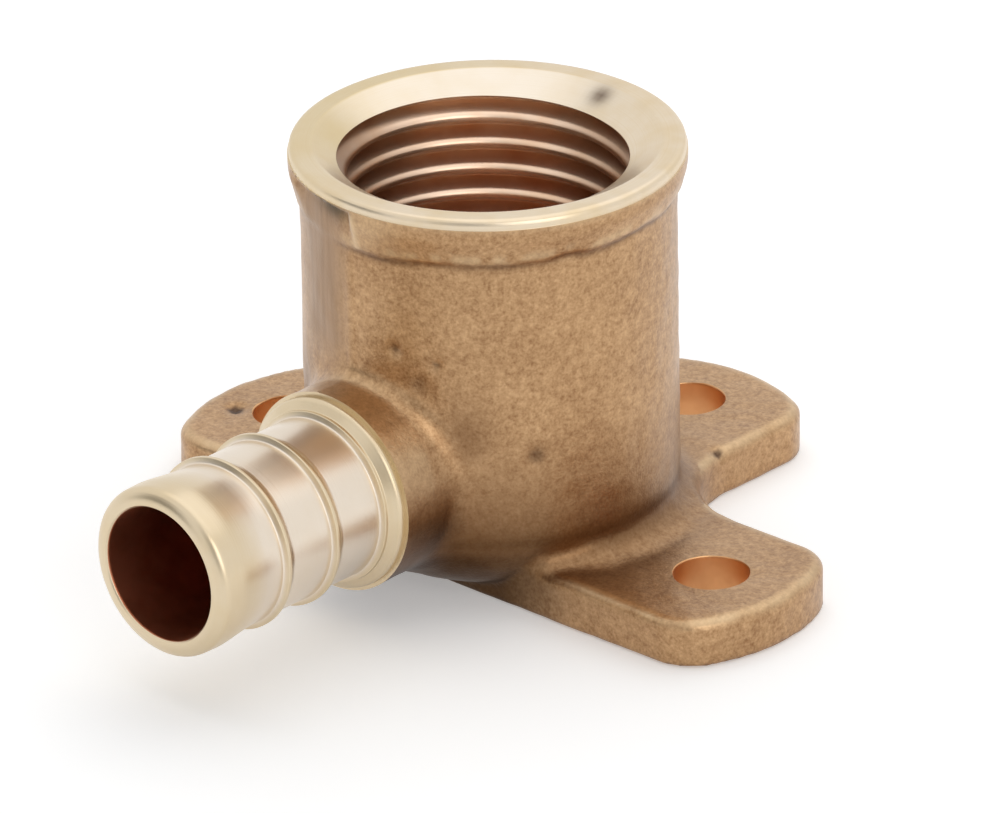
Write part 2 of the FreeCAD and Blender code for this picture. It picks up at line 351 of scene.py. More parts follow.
@dataclass
class Hub:
    """The upright hub: a barrel with a round foot, a cast band at its mouth, and the female end inside."""

    radius: float = 12.35
    height: float = 28.9
    stock: float = 0.7
    foot_height: float = 0.7
    foot_round: float = 5.5
    band_radius: float = 13.03
    band_low: float = 25.55
    band_tilt: tuple[float, float, float] = (0.022, 0.0205, 0.0)
    band_edge: float = 0.25
    band_fillet: float = 0.35
    taper_top: float = 27.3
    band_taper: float = 0.26
    band_ragged: float = 0.16
    band_grain: float = 1.6
    rim_edge: float = 0.7
    rim_slant: float = 0.02
    rim_inset: float = 0.03
    rim_round: float = 0.42
    mouth_radius: float = 11.5
    mouth_depth: float = 1.3
    mouth_round: float = 0.15
    chamfer_rows: tuple[float, ...] = (0.2, 0.35, 0.5, 0.65, 0.8)
    chamfer_round: float = 0.05
    crest_radius: float = 9.25
    thread_pitch: float = 25.4 / 14
    thread_start: float = 2.03
    crest_flat: float = 0.2
    root_flat: float = 0.06
    crest_arc: float = 0.6
    arc_points: int = 7
    flank_slope: float = math.radians(62.0)
    crest_slope: float = math.radians(15.0)
    under_flank: float = math.tan(math.radians(30.0))
    tap_cut: float = 0.03
    tap_clear: float = 0.05
    thread_taper: float = 1 / 32
    thread_low: float = 15.2
    turns_left: float = 1.2
    chamber_radius: float = 7.5
    chamber_floor: float = 4.2
    chamber_cone: float = 1.5
    chamber_round: float = 0.4
    gate_distance: float = 12.28
    gate_angle: float = math.radians(14.0)
    gate_start: float = -0.35
    gate_high: float = 28.0
    seam_place: float = -1.1
    gate_edge: float = 0.15
    undercut: float = 0.3
    undercut_place: Bell = Bell(27.6, 0.4)
    columns: int = 176

    def band_edge_height(self, points: np.ndarray, grain: Grain) -> np.ndarray:
        """Height of the band's lower edge, which is tilted, and ragged by the grain read round the hub."""
        ragged = self.band_ragged * grain.at(points * [1, 1, 0], self.band_grain)
        return self.band_low + points @ self.band_tilt + ragged

    def distance(self, points: np.ndarray, grain: Grain) -> np.ndarray:
        """How far points lie outside the hub, before it is machined.

        The barrel is the common part of a cylinder and the space above its foot; the band is the common
        part of a wider cylinder, which narrows downwards under the rim, and the space above its own lower
        edge, joined by a small fillet.

        Args:
            points: Rows of x, y, z in mm.
            grain: The grain that makes the band's edge ragged.

        Returns:
            A distance in mm for each point, negative inside.
        """
        out = np.hypot(points[:, 0], points[:, 1])
        up = points[:, 2]
        narrowed = self.band_taper * np.maximum(self.taper_top - up, 0)
        barrel = round_common(out - self.radius, self.foot_height - up, self.foot_round)
        low = self.band_edge_height(points, grain)
        band = round_common(out - self.band_radius + narrowed, low - up, self.band_edge)
        band = round_common(band, -self.ground_off(points), self.gate_edge)
        return fillet_union(barrel, band, self.band_fillet)

    def ground_off(self, points: np.ndarray) -> np.ndarray:
        """How far points lie outside the space that the grinding wheel took off the band.

        It is the common part of the space beyond a flat, that to one side of the parting line and that
        below the mouth's rim, and the flat goes deeper right under the rim.

        Args:
            points: Rows of x, y, z in mm.

        Returns:
            A distance in mm for each point, negative inside.
        """
        beyond = -points[:, 0] * math.sin(self.gate_angle) - points[:, 1] * math.cos(self.gate_angle)
        deep = self.undercut * self.undercut_place.at(points[:, 2])
        flat = self.gate_distance - deep - beyond
        return np.maximum(np.maximum(points[:, 0] - self.gate_start, points[:, 2] - self.gate_high), flat)

    def crest(self, height: np.ndarray) -> np.ndarray:
        """Radius of the thread's crests at a height: a cone that narrows into the hub."""
        return self.crest_radius - self.thread_taper * (self.height - height)

    def mouth_tool(self) -> Surface:
        """The facing and boring tool: a turned profile from above the rim down to the chamber's floor.

        Returns:
            The closed surface of what the tool sweeps.
        """
        above, aside = self.height + 2 * self.stock, self.band_radius + 2 * PAST
        crest_top = self.crest(np.array(self.height))
        crest_low = self.crest(np.array(self.thread_low))
        rim_low = self.height - self.rim_edge
        return turned_solid({
            Finish.TURNED: [
                (above, 0, 0),
                (above, aside, 0),
                (rim_low - self.rim_slant, aside, 0),
                (rim_low, self.band_radius - self.rim_inset, self.rim_slant),
                (self.height, self.band_radius - 2 * self.rim_inset, self.rim_round),
                (self.height, self.mouth_radius, self.mouth_round),
                *((self.height - self.mouth_depth * part,
                   self.mouth_radius + (crest_top - self.mouth_radius) * part, 0)
                  for part in self.chamfer_rows),
            ],
            Finish.THREADED: [
                (self.height - self.mouth_depth, crest_top, self.chamfer_round),
            ],
            Finish.BORED: [
                (self.thread_low, crest_low, 0),
                (self.thread_low - (crest_low - self.chamber_radius), self.chamber_radius, 0),
                (self.chamber_floor + self.chamber_cone, self.chamber_radius, self.chamber_round),
                (self.chamber_floor, self.chamber_radius - self.chamber_cone, self.chamber_round),
                (self.chamber_floor, 0, 0),
            ],
        }, self.columns)

    def thread_form(self) -> tuple[np.ndarray, np.ndarray]:
        """Profile of the tap over one pitch, downwards from the middle of a crest.

        Below the flat crest come the flank that faces down, the root and the flank that faces up, which
        turns over into the next crest by an arc; the depth is what makes these add up to one pitch.

        Returns:
            How far each point is below the first, and how far outside the crests.
        """
        turn = np.linspace(self.flank_slope, self.crest_slope, self.arc_points)
        drop = self.crest_arc * (math.sin(self.flank_slope) - np.sin(turn))
        worn = self.crest_arc * (math.cos(self.crest_slope) - np.cos(turn))
        upper = 1 / math.tan(self.flank_slope)
        left = self.thread_pitch - self.crest_flat - self.root_flat - drop[-1] - self.under_flank * worn[0]
        straight = left / (self.under_flank + upper)
        depth = worn[0] + straight
        edge = self.crest_flat / 2
        root = edge + self.under_flank * depth
        arc = root + self.root_flat + upper * straight
        return (np.concatenate([[0, edge, root, root + self.root_flat], arc + drop]),
                np.concatenate([[0, 0, depth, depth], worn]))

    def thread_tool(self) -> Surface:
        """The tap: one pitch of thread profile carried down a right-hand helix.

        At a turn angle a, a profile point lies at the height top - pitch a / 2 pi - its own drop, and at
        the radius of the crests plus its own depth. The lower edge of each turn is the upper edge of the
        next, and the depth fades over the last turn.

        Returns:
            The closed surface of what the tool sweeps.
        """
        top = self.height + self.thread_start
        turns = (top - self.thread_low) / self.thread_pitch - self.turns_left
        count = int(turns * self.columns)
        column = np.arange(count + self.columns + 1)
        drop, depth = self.thread_form()
        rows = len(drop)
        angle = column * TURN / self.columns
        height = top - self.thread_pitch * column[:, None] / self.columns - drop
        fade = np.clip((count - column) / self.columns, 0, 1)[:, None]
        radius = self.crest(height) + fade * (depth + self.tap_cut) - (1 - fade) * self.tap_clear
        points = np.stack([
            radius * np.cos(angle)[:, None],
            -radius * np.sin(angle)[:, None],
            height,
        ], axis=-1).reshape(-1, 3)
        place, across = np.meshgrid(np.arange(count), np.arange(rows), indexing="ij")
        place, across = place.ravel(), across.ravel()

        def number(at: np.ndarray, row: np.ndarray) -> np.ndarray:
            """Index of a point; past the last row of a turn comes the first row of the next."""
            return np.where(row < rows, at * rows + row, (at + self.columns) * rows)

        quads = np.stack([
            number(place, across), number(place + 1, across),
            number(place + 1, across + 1), number(place, across + 1),
        ], axis=1)
        steps = np.arange(rows + 1)
        first_turn = np.arange(self.columns + 1)
        upper = np.concatenate([number(first_turn, 0 * first_turn), number(0 * steps, steps)[-2:0:-1]])
        lower = np.concatenate([
            number(count + 0 * steps, steps), number(count - first_turn, rows + 0 * first_turn)[1:],
        ])
        used = np.unique(np.concatenate([quads.ravel(), upper, lower]))
        renumber = np.full(len(points), -1)
        renumber[used] = np.arange(len(used))
        points = np.concatenate([points[used], [[0, 0, top], [0, 0, height[count, 0] - self.thread_pitch]]])
        faces = renumber[quads].tolist()
        for loop, pole in ((upper, len(used)), (lower, len(used) + 1)):
            ring = renumber[loop]
            faces += np.stack([ring, np.full(len(ring), pole), np.roll(ring, -1)], axis=1).tolist()
        return Surface(points, faces, np.full(len(faces), Finish.THREADED))


@dataclass
class Ears:
    """The plate of three ears round the hub's foot, with a screw hole in each."""

    offset: float = 0.4
    thickness: float = 3.3
    half_width: float = 7.3
    reach: float = 24.85
    end_radius: float = 12.5
    corner_radius: float = 3.5
    web_radius: float = 7.4
    top_edge: float = 0.75
    bottom_edge: float = 0.3
    flare_inner: float = 11.9
    flare_radius: float = 2.5
    flare_end: float = 0.9
    flare_growth: float = 0.5
    screw_circle: float = 18.8
    screw_radius: float = 2.5
    screw_edge: float = 0.08
    screw_round: float = 0.06
    columns: int = 56

    def tongue(self, along: np.ndarray, across: np.ndarray) -> np.ndarray:
        """Distance in the plan to an endless strip with one round end.

        The strip's core is a narrower strip cut by the circle of the end, both smaller by the corner's
        radius; the distance is that to the core's side, arc or corner, less the corner's radius.

        Args:
            along: How far along the strip, towards its round end, each point is.
            across: How far to the side of the strip's middle each point is.

        Returns:
            A distance in mm for each point, negative inside.
        """
        across = np.abs(across)
        core = self.half_width - self.corner_radius
        arc = self.end_radius - self.corner_radius
        centre = self.reach - self.end_radius
        corner = centre + math.sqrt(arc ** 2 - core ** 2)
        side = across - core
        end = np.hypot(np.maximum(along - centre, 0), across) - arc
        point = np.hypot(along - corner, side)
        before_arc = across * (corner - centre) > (along - centre) * core
        away = np.where(along < corner, side, np.where(before_arc, point, end))
        return np.where((side < 0) | (end < 0), np.maximum(side, end), away) - self.corner_radius

    def plan(self, points: np.ndarray) -> np.ndarray:
        """Distance in the plan to the strips of the side ears and the far ear, joined by the webs' arcs.

        Args:
            points: Rows of x, y, z in mm.

        Returns:
            A distance in mm for each point, negative inside.
        """
        across, along = points[:, 0], points[:, 1] - self.offset
        sides = self.tongue(np.abs(across), along)
        far = np.maximum(self.tongue(along, across), -along)
        return fillet_union(sides, far, self.web_radius)

    def distance(self, points: np.ndarray) -> np.ndarray:
        """How far points lie outside the ears: a plate with a round edge and a fillet up to the hub.

        The fillet thins out towards the side ears' front edges.

        Args:
            points: Rows of x, y, z in mm.

        Returns:
            A distance in mm for each point, negative inside.
        """
        plan, up = self.plan(points), points[:, 2]
        barrel = np.hypot(points[:, 0], points[:, 1]) - self.flare_inner
        from_front = points[:, 1] - self.offset + self.half_width
        flare = np.clip(self.flare_end + self.flare_growth * from_front, self.flare_end, self.flare_radius)
        top = fillet_union(up - self.thickness, barrel, flare)
        return round_common(round_common(plan, top, self.top_edge), -up, self.bottom_edge)

    def hole_centres(self) -> list[tuple[float, float]]:
        """Where the three screw holes are, in the plan."""
        return [(self.screw_circle, self.offset), (-self.screw_circle, self.offset),
                (0.0, self.screw_circle + self.offset)]

    def drill(self, centre: tuple[float, float]) -> Surface:
        """The drill for one screw hole: a turned profile that also breaks the hole's edges.

        Args:
            centre: The hole's place in the plan.

        Returns:
            The closed surface of what the tool sweeps.
        """
        edge, radius, wide = self.screw_edge, self.screw_radius, self.screw_radius + PAST + self.screw_edge
        solid = turned_solid({Finish.DRILLED: [
            (self.thickness + PAST, 0, 0),
            (self.thickness + PAST, wide, 0),
            (self.thickness - edge, radius, self.screw_round),
            (edge, radius, 0),
            (-PAST, wide, 0),
            (-PAST, 0, 0),
        ]}, self.columns)
        solid.points = solid.points + [*centre, 0]
        return solid


@dataclass
class Barb:
    """The cast neck and the ribbed barb turned on it, along -Y."""

    axis_height: float = 9.1
    neck_radius: float = 6.8
    neck_fillet: float = 1.1
    stock_reach: float = 32.6
    stock_edge: float = 0.5
    tip: float = 31.8
    tip_land: float = 0.55
    tip_round: float = 0.33
    bore_radius: float = 4.55
    bore_edge: float = 0.15
    bore_round: float = 0.12
    bore_end: float = 0.5
    bore_columns: int = 96
    nose_radius: float = 5.86
    nose_start: float = 5.0
    nose_full: float = 1.9
    nose_end: float = 0.4
    nose_drop: float = 0.05
    nose_rounds: tuple[float, float, float] = (0.6, 0.5, 0.36)
    waist_radius: float = 5.5
    waist_round: float = 0.2
    rib_radius: float = 5.9
    first_rib: float = 6.2
    rib_pitch: float = 4.54
    rib_crest: float = 0.12
    rib_front: float = 0.15
    rib_back: float = 0.5
    rib_round: float = 0.05
    rib_foot: float = 0.08
    rib_count: int = 3
    shoulder_radius: float = 6.55
    shoulder_front: float = 15.95
    shoulder_back: float = 15.5
    columns: int = 160

    def distance(self, points: np.ndarray) -> np.ndarray:
        """How far points lie outside the neck and the stock of the barb, a cylinder along -Y.

        Args:
            points: Rows of x, y, z in mm.

        Returns:
            A distance in mm for each point, negative inside.
        """
        out = np.hypot(points[:, 0], points[:, 2] - self.axis_height)
        along = -points[:, 1]
        ends = np.maximum(-along, along - self.stock_reach)
        return round_common(out - self.neck_radius, ends, self.stock_edge)

    def lay(self, solid: Surface) -> Surface:
        """Turns a solid made about Z so that its axis is the barb's, with its height pointing to -Y.

        Args:
            solid: The solid, which is changed.

        Returns:
            The same solid.
        """
        x, y, z = solid.points.T
        solid.points = np.column_stack([x, -z, self.axis_height + y])
        return solid

    def turning_tool(self) -> Surface:
        """The turning tool: the space round the barb's profile, from past the tip back to the shoulder.

        Returns:
            The closed surface of what the tool sweeps.
        """
        far, wide = self.tip + 2 * PAST, self.neck_radius + 3 * PAST
        corners = [
            (far, 0, 0),
            (far, wide, 0),
            (self.shoulder_back, wide, 0),
            (self.shoulder_back, self.shoulder_radius, 0),
            (self.shoulder_front, self.shoulder_radius, self.waist_round),
        ]
        middle = self.tip - self.first_rib - self.rib_pitch * np.arange(self.rib_count)[::-1]
        for index, along in enumerate(middle):
            crest, front = along - self.rib_crest, along + self.rib_crest
            if index:
                corners.append((crest - self.rib_back, self.waist_radius, self.waist_round))
            corners += [
                (crest, self.rib_radius, self.rib_round),
                (front, self.rib_radius, self.rib_round),
                (front + self.rib_front, self.waist_radius, self.rib_foot),
            ]
        start_round, full_round, end_round = self.nose_rounds
        corners += [
            (self.tip - self.nose_start, self.waist_radius, start_round),
            (self.tip - self.nose_full, self.nose_radius, full_round),
            (self.tip - self.nose_end, self.nose_radius - self.nose_drop, end_round),
            (self.tip, self.bore_radius + self.tip_land, self.tip_round),
            (self.tip, 0, 0),
        ]
        return self.lay(turned_solid({Finish.TURNED: corners}, self.columns))

    def bore_tool(self) -> Surface:
        """The drill for the waterway, from past the tip to the chamber; it breaks the tip's inner edge.

        Returns:
            The closed surface of what the tool sweeps.
        """
        return self.lay(turned_solid({
            Finish.TURNED: [
                (self.tip + PAST, 0, 0),
                (self.tip + PAST, self.bore_radius + PAST + self.bore_edge, 0),
            ],
            Finish.BORED: [
                (self.tip - self.bore_edge, self.bore_radius, self.bore_round),
                (self.bore_end, self.bore_radius, 0),
                (-PAST, 0, 0),
            ],
        }, self.bore_columns))


@dataclass(frozen=True)
class Wear:
    """Where the casting is worn, rubbed bare and dirty, and where shade, highlights and reflections are
    painted on it, each as a share from 0 to 1.

    Lengths are in mm, and angles round the hub in degrees from the barb's side, growing towards +X. The
    direction called right is that of the photograph, in the plan.
    """

    hub: Hub
    ears: Ears
    barb: Barb
    pits: tuple[Pit, ...]
    shape: Grain
    skin: Grain
    # Sizes of grain, and places.
    coarse_size: float = 1.3
    fine_size: float = 0.7
    fine_shift: float = 30.0
    wall: float = 0.9
    right: tuple[float, float] = (0.732, 0.681)
    near_axis: float = 0.1
    # The gate that was ground off, and its end on the band, which has a painted highlight.
    gate_middle: float = -20.0
    gate_side: Ramp = Ramp(17.6, 6.6)
    gate_rise: Ramp = Ramp(15.0, 18.0)
    gate_over: float = 0.2
    gate_end_highlight: Bell = Bell(0.3, 0.35)
    # The step under the band, darkened by painted shade, and grit above it.
    crease: Bell = Bell(-0.2, 0.22)
    crease_patches: Patches = Patches(0.85, 0.4, 1.25)
    grit: Bell = Bell(0.45, 0.35)
    grit_patches: Patches = Patches(0.2, 1.5, 0.6)
    # Painted shadow under the rim, and the rim's rubbed edge.
    rim_shadow_ground: Bell = Bell(27.6, 0.8)
    rim_shadow_cast: Bell = Bell(28.0, 0.3)
    rim_shadow_side: Bell = Bell(-11.0, 8.0)
    rim_shadow_patches: Patches = Patches(1.2, 0.6)
    rubbed: Ramp = Ramp(27.9, 28.4)
    rubbed_patches: Patches = Patches(0.7, 0.5)
    # The ears' rubbed edges with a painted highlight, and a painted highlight on the top of the neck.
    ear_edge: Bell = Bell(-0.4, 0.35)
    ear_top: Ramp = Ramp(2.6, 3.0)
    ear_inner: float = 14.0
    ear_patches: Patches = Patches(0.7, 0.6)
    neck_highlight_rise: Ramp = Ramp(8.5, 12.5)
    neck_highlight_front: Ramp = Ramp(-12.4, -12.9)
    neck_highlight_share: float = 0.42
    # Painted shade at the foot, low on the hub and beside the neck.
    foot: Ring = Ring(12.2, 4.6, 2.2, 0.9)
    foot_top: float = 4.2
    foot_over: float = 0.2
    under: Ramp = Ramp(13.5, 6.5)
    under_neck: float = 11.0
    under_clear: float = 5.5
    under_share: float = 0.85
    under_fall: float = 0.03
    under_least: float = 0.35
    patch_place: tuple[float, float] = (7.0, -10.1)
    patch_plan: Bell = Bell(0.0, 1.9)
    patch_rise: Bell = Bell(13.0, 2.6)
    patch_share: float = 0.65
    # Deeper painted shade under the front, round the foot and in the neck's corners.
    deep_shade_front: Ramp = Ramp(-6.2, -6.8)
    deep_shade_width: Ramp = Ramp(13.0, 7.0)
    deep_shade_height: Ramp = Ramp(5.6, 4.0)
    deep_shade_foot: Ring = Ring(12.3, 5.4, 1.2, 0.7)
    deep_shade_neck: Spot = Spot(6.2, -12.4, 6.4, 3.2, 0.6)
    deep_shade_side: Ramp = Ramp(7.4, 6.8)
    # The barb.
    turned_over: float = 0.05
    rib: Ramp = Ramp(0.05, 0.3)
    nose: Ramp = Ramp(2.6, 1.4)
    # The chamfer, the thread and the rim; painted shade towards the thread's two sides.
    chamfer_over: float = 0.1
    thread_side_shade: Ramp = Ramp(0.4, 1.067)
    run_in: Ramp = Ramp(-0.05, 0.05)
    dark_spot: Spot = Spot(0.3, 10.65, 28.39, 0.75, 1.0)
    rim_middle: float = -80.0
    rim_tarnish: Ramp = Ramp(91.0, 21.0)
    chamfer_middle: float = -60.0
    chamfer_tarnish: Ramp = Ramp(44.0, 4.0)
    tarnish_depth: float = 2.0
    # The pits: shares of their depth between which the dirt sets in.
    dirty: Ramp = Ramp(0.25, 0.875)

    def round_hub(self, points: np.ndarray) -> tuple[np.ndarray, np.ndarray]:
        """Distance of points from the hub's axis, and their angle round it."""
        return np.hypot(points[:, 0], points[:, 1]), np.degrees(np.arctan2(points[:, 0], -points[:, 1]))

    def on_cast(self, points: np.ndarray) -> dict[str, np.ndarray]:
        """Marks of the cast skin's upper part and edges.

        Args:
            points: Rows of x, y, z in mm.

        Returns:
            By name: ground (the gate's grinding), crease (painted shade under the band), shade (painted
                shadow
            under the rim) and bright (edges rubbed bare, with painted highlights on the band's end, the
            ears' top edges and the neck's top).
        """
        hub, (x, y, z) = self.hub, points.T
        out, side = self.round_hub(points)
        outside = out > hub.radius - self.wall
        coarse = self.skin.at(points, self.coarse_size)
        fine = self.skin.at(points + self.fine_shift, self.fine_size)
        low = hub.band_edge_height(points, self.shape)
        gate = self.gate_side.at(np.abs(side - self.gate_middle)) * self.gate_rise.at(z)
        gate *= outside & (z < hub.gate_high)
        gate *= x < np.where(z < low, hub.seam_place, hub.gate_start) + self.gate_over
        # Painted shade in the step under the band.
        crease = self.crease.at(z - low) * outside * self.crease_patches.at(coarse) * (1 - gate)
        # Painted shadow under the rim, deepest over the ground flat.
        rim_shadow = np.where(x < hub.gate_start, self.rim_shadow_ground.at(z), self.rim_shadow_cast.at(z))
        rim_shadow *= outside * self.rim_shadow_side.at(side) * self.rim_shadow_patches.at(coarse)
        # A painted highlight on the band's end beside the gate.
        end = self.gate_end_highlight.at(x - hub.gate_start) * (y < 0) * (z > low) * (z < hub.gate_high)
        grit = self.grit.at(z - low) * self.grit_patches.at(fine) * (1 - gate)
        rubbed = self.rubbed.at(z) * self.rubbed_patches.at(coarse)
        # Lighter along the ears' top edges: rubbing and a painted highlight.
        edge = self.ear_edge.at(self.ears.plan(points)) * self.ear_top.at(z) * (out > self.ear_inner)
        edge *= self.ear_patches.at(coarse)
        # A painted highlight on the top of the neck.
        neck = self.neck_highlight_share * self.neck_highlight_rise.at(z) * self.neck_highlight_front.at(y)
        return {"ground": gate, "crease": crease, "shade": rim_shadow,
                "bright": np.maximum.reduce([end, grit, rubbed, edge, neck]) * outside}

    def low_down(self, points: np.ndarray) -> dict[str, np.ndarray]:
        """Marks of the cast skin low down: painted shade, darker towards the bottom.

        Args:
            points: Rows of x, y, z in mm.

        Returns:
            By name: recess (painted shade at the foot, low on the hub and beside the neck) and grime
                (deeper
            painted shade round the foot, under the front and in the neck's corners).
        """
        x, y, z = points.T
        out, aside = np.hypot(x, y), np.abs(x)
        on_barrel = (out < self.hub.radius + self.foot_over) & (z > self.foot_top)
        # Painted shade, darker towards the bottom and less towards the right.
        under = self.under.at(z) * (on_barrel | (y < -self.under_neck) | (z > self.under_clear))
        across = points[:, :2] @ self.right
        under *= np.clip(self.under_share - self.under_fall * across, self.under_least, 1)
        # A patch of painted shade on the hub beside the neck.
        beside = np.hypot(aside - self.patch_place[0], y - self.patch_place[1])
        patch = self.patch_share * self.patch_plan.at(beside) * self.patch_rise.at(z)
        # Deeper painted shade under the front, round the foot and in the neck's corners.
        front = self.deep_shade_front.at(y) * self.deep_shade_width.at(aside) * self.deep_shade_height.at(z)
        corner = self.deep_shade_neck.at(np.column_stack([aside, y, z])) * self.deep_shade_side.at(aside)
        return {"low_shade": np.maximum.reduce([self.foot.at(points), under, patch]),
                "deep_shade": np.maximum.reduce([front, self.deep_shade_foot.at(points), corner])}

    def on_barb(self, points: np.ndarray) -> dict[str, np.ndarray]:
        """Marks of the barb.

        Args:
            points: Rows of x, y, z in mm.

        Returns:
            By name: waist (between its ribs, whiter: a painted reflection) and handled (where it stands
                proud,
            yellower).
        """
        x, y, z = points.T
        turned = y < self.turned_over - self.barb.shoulder_back
        proud = self.rib.at(np.hypot(x, z - self.barb.axis_height) - self.barb.waist_radius)
        proud = np.maximum(proud, self.nose.at(y + self.barb.tip))
        return {"waist": turned * (1 - proud), "proud_tone": turned * proud}

    def in_mouth(self, points: np.ndarray) -> dict[str, np.ndarray]:
        """Marks of the rim, the chamfer and the thread.

        Args:
            points: Rows of x, y, z in mm.

        Returns:
            By name: fresh (a painted highlight on the far side of the chamfer), oil (painted shade towards
                the
            thread's two sides), run_in (where the thread starts in the chamfer), and smear (a dark spot)
            and tarnish (both on the rim).
        """
        hub, (x, y, z) = self.hub, points.T
        out, side = self.round_hub(points)
        chamfer_low = hub.height - hub.mouth_depth
        away = np.maximum(out, self.near_axis)
        across, back = points[:, :2] @ self.right / away, (self.right[0] * y - self.right[1] * x) / away
        chamfer = (out < hub.mouth_radius) & (z > chamfer_low - self.chamfer_over)
        tarnish = np.where(out > hub.mouth_radius - self.chamfer_over,
                           self.rim_tarnish.at(np.abs(side - self.rim_middle)),
                           self.chamfer_tarnish.at(np.abs(side - self.chamfer_middle)))
        # A painted highlight on the chamfer's far side.
        return {"chamfer_highlight": chamfer * np.clip(back, 0, 1) ** 2,
                # Painted shade towards the thread's two sides.
                "thread_side_shade": self.thread_side_shade.at(np.abs(across)) * (z < chamfer_low),
                "run_in": self.run_in.at(z - chamfer_low),
                # A dark spot on the chamfer.
                "dark_spot": self.dark_spot.at(points),
                "tarnish": tarnish * (z > hub.height - self.tarnish_depth)}

    def in_pits(self, points: np.ndarray) -> np.ndarray:
        """Dirt in the pits, which is full from most of a pit's depth on, by weights 3t^2 - 2t^3.

        Args:
            points: Rows of x, y, z in mm.

        Returns:
            The share of dirt at each point.
        """
        hollow = np.zeros(len(points))
        for pit in self.pits:
            inside = self.dirty.at(pit.at(points) / pit.strength)
            hollow += pit.dirt * inside * inside * (3 - 2 * inside)
        return hollow

    def marks(self, points: np.ndarray) -> dict[str, np.ndarray]:
        """Works out, for points in mm, the shares that the finishes read.

        Args:
            points: Rows of x, y, z in mm.

        Returns:
            By name: those of the other methods, hollow (dirt in the pits), and lathe, which is the place
            along the tool's path in mm.
        """
        shares = {**self.on_cast(points), **self.low_down(points), **self.on_barb(points),
                  **self.in_mouth(points), "hollow": self.in_pits(points)}
        up = points[:, 2]
        facing = np.hypot(points[:, 0], points[:, 1]) - self.hub.height + up
        lathe = np.where(up > self.hub.thread_low, facing, points[:, 1])
        return {**{name: np.clip(share, 0, 1) for name, share in shares.items()}, "lathe": lathe}


